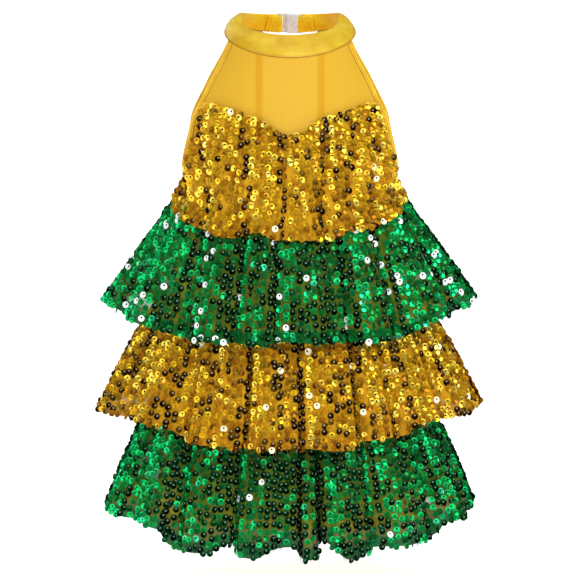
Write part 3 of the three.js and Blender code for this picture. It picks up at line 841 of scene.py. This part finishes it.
def pleat_shade(number, angle):
    """Painted shade on the sequins by angle: most in each sharp pleat and at the side seams, least beside
    them.
    """
    apart = half_turn(angle[:, None] - PLEATS[number]["angle"])
    trough, ridge = bell(apart, 1.3).sum(-1), bell(apart - 3, 1.5).sum(-1)
    lit = LIT["by"][number] * bell(angle - LIT["angle"][number], LIT["width"][number])
    # Painted shade where the cloth turns away at the side seams.
    turned = 0.9 * bell(half_turn(angle - 90), 6)
    return 1.6 * trough - 1.0 * ridge - 0.55 * np.sin(np.radians(angle)) ** 4 + turned - lit


def sequin_poses(surface, places, rng):
    """The middle of each sequin, the directions across, down and out of it, and how far the cloth leans."""
    count = len(places)
    here, normal, downward = tangents(surface, places)
    angle = angle_of(here)
    round_it = unit(on_body(angle + 0.5, here[:, 2]) - on_body(angle - 0.5, here[:, 2]))
    lean = (normal * round_it).sum(-1)
    toward = np.zeros((count, 3))
    toward[:, 1] = np.sign(here[:, 1]) * np.sin(np.radians(angle)) ** 2 * SIDE_FACING
    loose = np.where(places[:, 1] > HANGING["from"], HANGING["at_hem"], HANGING["above"])
    hanging = rng.random(count) < loose
    facing = unit(normal + toward)
    turned = rng.normal(0, UNEVEN["yaw"], count)
    yaw = np.radians(turned + np.where(hanging, rng.uniform(-HANGING["turn"], HANGING["turn"], count), 0))
    lift = np.radians(np.abs(rng.normal(LIFT, UNEVEN["lift"], count)) - 2)
    across = unit(np.cross(downward, facing))
    down = unit(np.cross(facing, across))
    facing, across = turn_about(facing, down, yaw), turn_about(across, down, yaw)
    facing, down = turn_about(facing, across, -lift), turn_about(down, across, -lift)
    spin = np.radians(rng.normal(0, UNEVEN["spin"], count))
    across, down = turn_about(across, facing, spin), turn_about(down, facing, spin)
    tilt = 1 - np.abs((facing * normal).sum(-1))
    middle = here + normal * (NET / 2 + 0.3 + SEQUIN_RADIUS * np.sqrt(tilt) * 0.5)[:, None]
    return middle, across, down, facing, lean


def unwrap(made, shape, count):
    """Lay the sequins out in rows in their own map, OFBake."""
    cells = math.ceil(math.sqrt(count))
    cell = np.stack([np.arange(count) % cells, np.arange(count) // cells], -1)
    flat = cell[:, None] + 0.5 + shape[None, :, :2] * MAP_FILL / SEQUIN_RADIUS
    uv = (flat / cells).reshape(-1, 2)
    corners = np.zeros(len(made.data.loops), np.int32)
    made.data.loops.foreach_get("vertex_index", corners)
    layer = made.data.uv_layers.new(name="OFBake")
    layer.data.foreach_set("uv", uv[corners].astype(np.float32).ravel())


def mark_colors(made, places, angle, lean, number, rng):
    """Mark each sequin's painted tone, with painted rims nearer the middling one, and whether its hue is
    shifted.
    """
    each = len(made.data.vertices) // len(places)
    shade = pleat_shade(number, angle)
    tone = tones(rng, places, lean + shade, number)[:, None]
    rim = (np.arange(each) // SEQUIN_SIDES == 2)[None]
    # Rims are painted nearer the middling tone: a darker outline on bright sequins, a lighter one on dark
    # ones.
    mark(made, "tone", np.where(rim & (tone < 0.95), tone + RIM_PAINTED_SHADE * (MIDDLING - tone), tone))
    near_hem = np.clip((places[:, 1] - 0.8) / 0.2, 0, 1)
    # The shifted hue gathers in patches, near the hem and partly in the painted pleat shade.
    score = patches(places * (0.83, 1.3) + 0.37) + 0.6 * shade + 0.8 * near_hem
    mark(made, "hue", np.repeat(rank(score + 0.6 * rng.standard_normal(len(places))), each))


def make_sequins(name, number, surface, first, seed):
    rng = np.random.default_rng(SEED + seed)
    places = sequin_places(surface, first, number == 0, rng)
    middle, across, down, facing, lean = sequin_poses(surface, places, rng)
    count = len(places)
    shape, quads, caps = sequin_shape()
    local = shape[None] * rng.normal(1, UNEVEN["size"], count)[:, None, None]
    points = middle[:, None] + local[..., :1] * across[:, None] - local[..., 1:2] * down[:, None]
    points = points + local[..., 2:] * facing[:, None]
    all_quads, all_caps = repeat_faces(quads, count, len(shape)), repeat_faces(caps, count, len(shape))
    made = mesh_object(name, points.reshape(-1, 3), all_quads, all_caps)
    mark_colors(made, places, angle_of(middle), lean, number, rng)
    unwrap(made, shape, count)
    settle(made, LOOKS[number]["sequin"])
    made.data.materials.append(LOOKS[number]["hole"])
    indices = np.concatenate([np.zeros(len(all_quads)), np.ones(len(all_caps))]).astype(np.int32)
    made.data.polygons.foreach_set("material_index", indices)
    return made


def area_of(points, wrap=False):
    """The area in square metres of a grid of points in millimetres."""
    ring = np.concatenate([points, points[:, :1]], 1) if wrap else points
    down, across = ring[1:, :-1] - ring[:-1, :-1], ring[:-1, 1:] - ring[:-1, :-1]
    return float(np.linalg.norm(np.cross(down, across), axis=-1).sum()) * MM * MM


def declare_cloth(points, length, wrap=False):
    """Work out the width that the cloth's area gives for its length down."""
    width = area_of(points, wrap) / length


def surface_grid(surface, rows, columns, wrap=False):
    around = np.linspace(0, 1, columns, endpoint=not wrap)
    return surface(*np.meshgrid(around, np.linspace(0, NET_END, rows)))


def mark(piece, name, values):
    """A number at each point that the piece's material reads."""
    attribute = piece.data.attributes.new(name, "FLOAT", "POINT")
    attribute.data.foreach_set("value", np.asarray(values).ravel().astype(np.float32))


def mark_hem(cloth, rows, columns, number):
    """0 where the net is single, 0.5 where it is doubled or the slip's hem is behind, 1 along its own hem."""
    begin = DOUBLED_FROM[number]
    hem = np.interp(np.linspace(0, NET_END, rows), [begin, begin + 0.04, 0.9, 0.94], [0, 0.5, 0.5, 1])
    mark(cloth, "hem", np.repeat(hem, columns))


def make_tier(name, number, surface, grid, first, seed, length, replaced):
    """A tier's net, or half of the first one's, with its sequins from `first` of the way down."""
    wrap = number > 0
    points = surface_grid(surface, *grid, wrap)
    cloth = cloth_object(f"{name}_net", points, wrap)
    mark_hem(cloth, *grid, number)
    settle(cloth, LOOKS[number]["net"], replaced)
    sequins = make_sequins(f"{name}_sequins", number, surface, first, seed)
    declare_cloth(points, length, wrap)


def make_first_tier():
    for half, line, turn, length in [("front", sweetheart, 0, 0.12), ("back", back_line, 180, 0.07)]:
        surface, name = first_tier_surface(line, turn), f"tier_1_{half}"
        make_tier(name, 0, surface, (36, 280), 0.004, 10 + turn, length, [name])


def make_lower_tiers():
    for number in [1, 2, 3]:
        surface, name = tier_surface(number), f"tier_{number + 1}"
        halves = [f"{name}_front", f"{name}_back"]
        make_tier(name, number, surface, (30, 600), 0.1, number, TIER_LENGTH, halves)


def make_slip():
    for half, line, turn in [("front", sweetheart, 0), ("back", back_line, 180)]:
        def surface(round_, down):
            def foot(angle):
                return np.full_like(angle, SLIP_HEM)

            angle, z = panel(BARE_EDGE, line, foot, line(LINE_END), down, round_ * 2 - 1)
            return on_body(angle + turn, z, CLOTH * 0.2)

        downs = [*np.linspace(0, 0.24, 48), *np.linspace(0.24, 1, 26)[1:]]
        points = surface(*np.meshgrid(np.linspace(0, 1, 110), downs))
        cloth = settle(cloth_object(f"slip_{half}_cloth", points), SLIP, [f"slip_{half}"])
        solid = cloth.modifiers.new("Thickness", "SOLIDIFY")
        solid.thickness = 0.8 * MM
        solid.offset = 1
        declare_cloth(points, 0.4)


def make_yokes():
    def top(angle):
        return collar_foot(angle) + TUCK

    def front_foot(angle):
        return sweetheart(angle) - SEAM_OVERLAP

    def front(round_, down):
        angle, z = panel(BARE_EDGE, top, front_foot, ARMHOLE["z"][0], down, round_ * 2 - 1)
        return on_body(angle, z, np.minimum(1, down * 30))

    def back_top(angle):
        return top(180 - angle)

    def back_foot(angle):
        return back_line(angle) - SEAM_OVERLAP

    def back_edge(down):
        return panel(BARE_EDGE, back_top, back_foot, ARMHOLE["z"][0], down, 1.0)[0]

    def back(direction):
        def at(round_, down):
            share = 1 - round_ if direction > 0 else round_
            top_angle = BACK_OPENING_TOP + (back_edge(0.0) - BACK_OPENING_TOP) * share
            open_foot = opening_angle(back_foot(0.0))
            foot_angle = open_foot + (back_edge(1.0) - open_foot) * share
            z = back_top(top_angle) + (back_foot(foot_angle) - back_top(top_angle)) * down
            angle = opening_angle(z) + (back_edge(down) - opening_angle(z)) * share
            return on_body(direction * (180 - angle), z, np.minimum(1, down * 30))

        return at

    for name, node, surface, columns in [
        ("yoke_front_mesh", "yoke_front", front, 150),
        ("yoke_back_left_mesh", "yoke_back_left", back(-1), 50),
        ("yoke_back_right_mesh", "yoke_back_right", back(1), 50),
    ]:
        points = surface_grid(surface, 50, columns)
        cloth = settle(cloth_object(name, points), MESH, [node])
        if node == "yoke_front":
            # A painted darker band where the shaded back-opening bindings would show through the sheer front.
            strip = np.abs(np.abs(points[..., 0].ravel()) - BACK_OPENING_HALF_WIDTH - BINDING_WIDTH / 2)
            shade = np.interp(strip, [BINDING_WIDTH / 2 - 0.8, BINDING_WIDTH / 2 + 0.4], [0.75, 0])
            mark(cloth, "behind", shade)
        declare_cloth(points, 0.09)


def fix_normals(piece):
    """Turn every face outward."""
    work = bmesh.new()
    work.from_mesh(piece.data)
    bmesh.ops.recalc_face_normals(work, faces=work.faces)
    work.to_mesh(piece.data)
    work.free()
    piece.data.shade_smooth()
    return piece


def tube_along(name, rings):
    """A closed tube through rings of points, with flat ends."""
    rows, columns = rings.shape[:2]
    points = np.concatenate([rings.reshape(-1, 3), [rings[0].mean(0)], [rings[-1].mean(0)]])
    k = np.arange(columns)
    first = np.stack([np.full(columns, rows * columns), (k + 1) % columns, k], -1)
    last_row = (rows - 1) * columns
    last = np.stack([np.full(columns, rows * columns + 1), last_row + k, last_row + (k + 1) % columns], -1)
    faces = grid_faces(rows, columns, wrap=True)
    return fix_normals(mesh_object(name, points, faces, np.concatenate([first, last])))


def short_tubes(name, rings, both_ends):
    """One object of many short tubes, each through its rings of points, closed at its last end or at both."""
    count, rows, columns = rings.shape[:3]
    faces = repeat_faces(grid_faces(rows, columns, wrap=True), count, rows * columns)
    last = (rows - 1) * columns + np.arange(columns)
    ends = [np.arange(columns)[::-1], last] if both_ends else [last]
    caps = repeat_faces(ends, count, rows * columns)
    return fix_normals(mesh_object(name, rings.reshape(-1, 3), faces, caps))


def mirror(points, on):
    return points * np.array([-1, 1, 1]) if on else points


def make_bindings():
    for name, path, steps, length in [
        ("armhole_binding", armhole_path(), 220, 0.31),
        ("back_opening_binding", back_opening_path(), 60, 0.1),
    ]:
        for side, flipped in [("left", True), ("right", False)]:
            share = np.linspace(0, 1, steps)[:, None]
            pucker = 1 + PUCKER["by"] * np.sin(share * length * 2 * np.pi / PUCKER["every"])
            shares, aside = np.broadcast_arrays(share, BINDING_SECTION["aside"])
            rings = beside(path, shares, aside, BINDING_SECTION["out"] * pucker)
            piece = tube_along(f"{name}_{side}_strip", mirror(rings, flipped))
            # Painted shade in the stitch groove and a painted contact shadow at the inner edge.
            mark(piece, "seam", np.append(np.tile(BINDING_SECTION["seam"], steps), [0, 0]))
            settle(piece, TRIM, [f"{name}_{side}"])


def stitches(name, line_at, out, toward=1, length=2.4, gap=1.0, radius=0.28):
    """A row of stitches: short threads that dip in at both ends, `out` from the cloth's middle."""
    line = line_at(out)
    normals = line_at(out + toward) - line
    run = along(line)
    count = int(run[-1] / (length + gap))
    starts = np.arange(count) * (run[-1] / count) + gap / 2
    shares = np.linspace(0, 1, 6)
    at = starts[:, None] + shares * length
    centre = np.stack([np.interp(at, run, line[:, i]) for i in range(3)], -1)
    up = np.stack([np.interp(at, run, normals[:, i]) for i in range(3)], -1)
    side = unit(np.cross(unit(np.gradient(centre, axis=1)), up))
    bow = (np.sin(shares * np.pi) ** 0.5)[:, None, None]
    turns = full_turn(6)[:, None]
    around = side[:, :, None] * np.cos(turns) + up[:, :, None] * np.sin(turns)
    rings = centre[:, :, None] + up[:, :, None] * (0.3 * bow - 0.2) + around * (radius * (0.35 + 0.65 * bow))
    return settle(short_tubes(name, rings, True), YELLOW_THREAD)


def make_stitching():
    edges = [("armhole", armhole_path(), 240), ("back_opening", back_opening_path(), 90)]
    for side, flipped in [("left", True), ("right", False)]:
        for name, path, steps in edges:
            def on_binding(out):
                share = np.linspace(0.01, 0.99, steps)
                return mirror(beside(path, share, np.full(steps, BINDING_STITCH_LINE), out), flipped)

            stitches(f"{name}_stitches_{side}", on_binding, 1.95)

    def on_collar(out):
        return collar_points(np.linspace(-168, 168, 500), 0.93, out)

    def on_slip(out):
        return on_body(np.linspace(-179.9, 179.9, 600), SLIP_HEM + 12, out)

    stitches("collar_foot_stitches", on_collar, 1.45, 1, 2.6, 0.6, 0.16)
    stitches("slip_hem_stitches", on_slip, 1.15)


def collar_points(angle, down, out):
    """Points on the collar band: down from its top edge, 0, to its foot, 1, and out from its middle."""
    angle, down, out = np.broadcast_arrays(angle, down, out)
    a = np.radians(angle)
    foot = on_body(angle, collar_foot(angle))
    half_width, half_depth = COLLAR_TOP["half_width"], COLLAR_TOP["half_depth"]
    top = np.stack([half_width * np.sin(a), -half_depth * np.cos(a), collar_top(angle)], -1)
    middle = top + (foot - top) * down[..., None]
    away = np.stack([np.sin(a) * 0.72, -np.cos(a) * 0.72, np.full_like(a, 0.69)], -1)
    return middle + away * out[..., None]


def end_angle(down):
    """The angle at which the band ends beside the clasp."""
    foot_width = half_sizes(collar_foot(180))[0]
    width = COLLAR_TOP["half_width"] + (foot_width - COLLAR_TOP["half_width"]) * down
    return 180 - np.degrees(np.arcsin((CLASP_HALF_WIDTH + SEAM_GAP) / width))


def band_rings(angle_share, low, high, inner, outer, creases):
    """Rings round the band's section at shares -1 to 1 along it, between two offsets from its middle."""
    turns = full_turn(28)
    down = low + (high - low) * (0.5 - 0.5 * squared_off(np.cos(turns), 0.35))
    swing = squared_off(np.sin(turns), 0.6)
    out = (inner + outer) / 2 + (outer - inner) / 2 * swing
    share = angle_share[:, None] + 0 * down
    angle = share * end_angle(down)
    lift = creases(angle, down + 0 * share) * np.where(swing > 0, 1, 0.5)
    return collar_points(angle, down + 0 * share, out + lift)


def satin_creases(angle, down):
    """Soft drag lines where the band turns, and small puckers along its foot."""
    a = np.radians(angle)
    drag = 0.55 * np.sin(9 * a + 3.4 * down + 0.6) * np.sin(np.pi * down)
    fine = 0.22 * np.sin(31 * a - 5 * down) * np.sin(np.pi * down) ** 0.5
    pucker = 0.16 * np.sin(88 * a) * np.clip(down - 0.8, 0, 1) * 5
    seam = 0.45 * bell(down - 0.9, 0.03)
    return COLLAR_BULGE * np.sin(np.pi * down) * np.sin(a) ** 2 + drag + fine + pucker - seam


def make_collar():
    share = np.linspace(-1, 1, 420)
    rings = band_rings(share, 0, 1, -0.8, 0.9, satin_creases)
    band = tube_along("collar_satin", rings)
    settle(band, SATIN, ["collar_band"])
    band.data.materials.append(SATIN_INSIDE_PAINTED_LIGHT)
    sides = rings.shape[1]
    around = np.arange(len(band.data.polygons)) % sides
    band.data.polygons.foreach_set("material_index", (around >= sides // 2).astype(np.int32))
    # A painted contact shadow along the band's foot, where it meets the yoke.
    seam = np.interp(np.abs(np.arange(sides) - sides // 2), [2, 3, 4], [1.0, 0.6, 0.0])
    mark(band, "seam", np.append(np.tile(seam, len(rings)), [0, 0]))

    def gathers(angle, down):
        a = np.radians(angle)
        return 0.6 * np.sin(a * 104 + 1.2 * down) + 0.25 * np.sin(a * 61 - 2 * down)

    for side, direction in [("left", -1), ("right", 1)]:
        share = direction * np.linspace(TAB_START, 1, 40)
        rings = band_rings(share, 0.03, 0.97, -2.1, -0.85, gathers)
        tab = tube_along(f"collar_end_{side}", rings)
        settle(tab, SATIN_INSIDE_PAINTED_LIGHT)
        for number, further in enumerate(TAB_SEAMS):
            def on_tab(out):
                down = np.linspace(0.06, 0.94, 40)
                return collar_points(direction * (TAB_START + further) * end_angle(down), down, out)

            stitches(f"collar_end_stitches_{side}_{number}", on_tab, -2.05, -1, 2.0, 0.8, 0.2)
        settle(make_loop(f"collar_loop_{side}", direction), SATIN_INSIDE_PAINTED_LIGHT)


def make_loop(name, direction):
    """A strip of satin from the band's end through the clasp's slot and back, gathered a little."""
    top = np.array([0, COLLAR_TOP["half_depth"], collar_top(180)])
    foot = on_body(180, collar_foot(180))
    down = unit(foot - top)
    side = np.array([direction, 0.0, 0.0])
    out = np.cross(np.array([1.0, 0, 0]), down)
    out *= np.sign(out[1])
    steps = np.linspace(0, 1, 60)
    path = {"at": np.linspace(0, 1, len(LOOP_PATH["across"])), **LOOP_PATH}
    across, outward = through(path, "at", "across", steps), through(path, "at", "out", steps)
    run = unit(np.stack([np.gradient(across), np.gradient(outward)], -1))
    turns = full_turn(36)
    spread = np.interp(across, LOOP_SPREAD["across"], LOOP_SPREAD["half_height"])
    high = squared_off(np.cos(turns), 0.3) * spread[:, None]
    thick = np.sin(turns) * LOOP_THICKNESS / 2 + 0.14 * np.sin(high * 2.1)
    across = across[:, None] - run[:, 1:] * thick
    outward = outward[:, None] + run[:, :1] * thick
    middle = (top + foot) / 2
    points = middle + side * across[..., None] + out * outward[..., None] + down * high[..., None]
    return tube_along(name, points)


def finish_clasp():
    for name in ["clasp_hook", "clasp_loop"]:
        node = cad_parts[name]
        node.data.materials.clear()
        node.data.materials.append(PLASTIC)
        bevel = node.modifiers.new("Rounded edges", "BEVEL")
        bevel.width = 0.45 * MM
        bevel.segments = 3
        node.modifiers.new("Shading", "WEIGHTED_NORMAL")


def make_wisps(number, count):
    """Loose ends of sewing thread that hang from a tier's hem."""
    rng = np.random.default_rng(SEED + WISP_SEED + number)
    rounds = rng.random(count)
    start, normal, downward = tangents(tier_surface(number), np.stack([rounds, np.full(count, NET_END)], -1))
    start = start + normal * (NET / 2)
    length = rng.uniform(4, 9, count)[:, None, None]
    t = np.linspace(0, 1, 9)[None, :, None]
    side = np.cross(normal, downward) * rng.normal(0, 0.7, (count, 1))
    curl = np.sin(t * 5 + rng.uniform(0, 6, (count, 1, 1))) * side[:, None] * 0.35
    line = start[:, None] + (downward[:, None] * t + side[:, None] * t**2 * 0.8 + curl * t) * length
    line = line + normal[:, None] * t * rng.uniform(0, 2, (count, 1, 1))
    turns = full_turn(5)[:, None]
    ring = np.cos(turns) * normal[:, None, None] + np.sin(turns) * unit(side)[:, None, None]
    rings = line[:, :, None] + ring * 0.14 * (1 - 0.5 * t[..., None])
    threads = short_tubes(f"tier_{number + 1}_threads", rings, False)
    settle(threads, LOOKS[number]["thread"])


make_collar()
finish_clasp()
make_yokes()
make_bindings()
make_slip()
make_first_tier()
make_lower_tiers()
make_stitching()
make_wisps(1, 90)
make_wisps(2, 90)
make_wisps(3, 110)


def area_light(name, place, target, size, power):
    light = bpy.data.lights.new(name, "AREA")
    light.shape = "RECTANGLE"
    light.size, light.size_y = size
    light.energy = power
    made = bpy.data.objects.new(name, light)
    made.location = place
    made.rotation_euler = (Vector(target) - Vector(place)).to_track_quat("-Z", "Y").to_euler()
    bpy.context.scene.collection.objects.link(made)


def paper(name, glow):
    values = {"base_color": (0.93, 0.93, 0.93, 1), "roughness": 0.9, "emission_color": (1, 1, 1, 1)}
    return Shader(name, emission_strength=glow, **values).material


SURROUND = 9.0  # metres from the dress, past the camera in any view


def make_studio():
    """A pale floor, a white surround that only the camera sees, soft lights and the camera."""
    scene = bpy.context.scene
    floor_z = cad_box[0][2] - 0.04
    corners = np.array([(-1, -1), (1, -1), (1, 1), (-1, 1)])
    floor = mesh_object("floor", np.column_stack([corners * 2.4, np.full(4, floor_z)]) / MM, [[0, 1, 2, 3]])
    floor.data.materials.append(paper("floor_paper", 0.75))
    circle = circle_points(64)
    rings = [
        np.column_stack([circle * radius, np.full(64, floor_z + up)])
        for radius, up in [(0.01, -0.02), (SURROUND, -0.02), (SURROUND, 2 * SURROUND)]
    ]
    surround = cloth_object("surround", np.array(rings) / MM, wrap=True)
    surround.data.materials.append(paper("surround_paper", 1.0))
    surround.visible_diffuse = surround.visible_glossy = surround.visible_shadow = False
    area_light("key", (1.3, -1.9, 1.2), (0, 0, -0.25), (1.1, 1.1), 31)
    area_light("fill", (-1.7, -1.7, 0.4), (0, 0, -0.25), (1.2, 1.6), 10)
    area_light("top", (0, -0.7, 1.8), (0, 0, -0.2), (1.6, 1.2), 17)
    area_light("rim", (-1.2, 1.5, 0.9), (0, 0, -0.25), (0.8, 1.2), 8)
    scene.world = bpy.data.worlds.new("studio")
    scene.world.use_nodes = True
    background = scene.world.node_tree.nodes["Background"].inputs
    background["Color"].default_value = (0.9, 0.93, 1.0, 1)
    background["Strength"].default_value = 0.35
    scene.view_settings.view_transform = "Standard"

    distance, elevation, span = 6.0, math.radians(7), 0.55
    centre = Vector((-0.0034, 0, -0.246))
    camera = bpy.data.objects.new("camera", bpy.data.cameras.new("camera"))
    camera.data.lens = camera.data.sensor_width * distance / span
    camera.data.clip_end = 30
    camera.location = centre + Vector((0, -math.cos(elevation), math.sin(elevation))) * distance
    camera.rotation_euler = (centre - camera.location).to_track_quat("-Z", "Y").to_euler()
    scene.collection.objects.link(camera)
    scene.camera = camera


make_studio()
